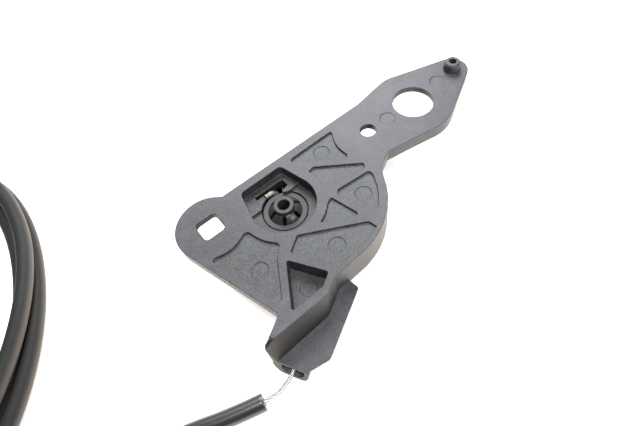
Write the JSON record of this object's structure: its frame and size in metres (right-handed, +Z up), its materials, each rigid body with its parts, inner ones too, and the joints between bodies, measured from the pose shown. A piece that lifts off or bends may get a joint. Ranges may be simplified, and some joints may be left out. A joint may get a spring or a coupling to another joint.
{
  "type": "hood release cable",
  "caption": "Hood release handle bracket with a sprung pull lever and a coiled Bowden cable ending in a latch fitting.",
  "frame": {"origin": "on the release lever's pivot axis, on the bench that the part lies on", "axes": "+X along the bracket's straight back edge towards the locating pin, +Y away from the cable's outlet, +Z up out of the bracket's back face"},
  "size_m": [0.2876, 0.1847, 0.022],
  "materials": {
    "moulded_nylon": "glass-filled nylon with a fine grain, matt grey",
    "smooth_acetal": "smooth, satin dark grey",
    "spring_steel": "bright drawn wire, browned at its cut end",
    "cast_zinc": "die-cast, dull",
    "galvanised_wire": "galvanised strand",
    "black_jacket": "extruded jacket, satin black"
  },
  "bodies": {
    "base": {"bracket": "moulded_nylon", "return_spring": "spring_steel", "bare_wire": "galvanised_wire", "cable_sheath": "black_jacket", "cable_coil": "black_jacket", "sheath_tail": "black_jacket", "coil_tie": "smooth_acetal", "end_fitting": "smooth_acetal"},
    "lever": {"release_lever": "smooth_acetal", "pivot_hub": "smooth_acetal", "lever_nipple": "cast_zinc", "sector_wire": "galvanised_wire"},
    "latch_end": {"latch_wire": "galvanised_wire", "latch_nipple": "cast_zinc"}
  },
  "joints": [
    {"name": "lever_turn", "type": "hinge", "parent": "base", "child": "lever", "pos_m": [0, 0, 0], "axis": [0, 0, 1], "range_deg": [0, 50], "stiffness_Nm_per_rad": 0.05, "springref_deg": -20.05},
    {"name": "latch_pull", "type": "slide", "parent": "base", "child": "latch_end", "axis": [-0.342, -0.9397, 0], "range_m": [0, 0.0215]}
  ],
  "couplings": [
    {"joint": "latch_pull", "follows": "lever_turn", "m_per_rad": 0.02372}
  ]
}
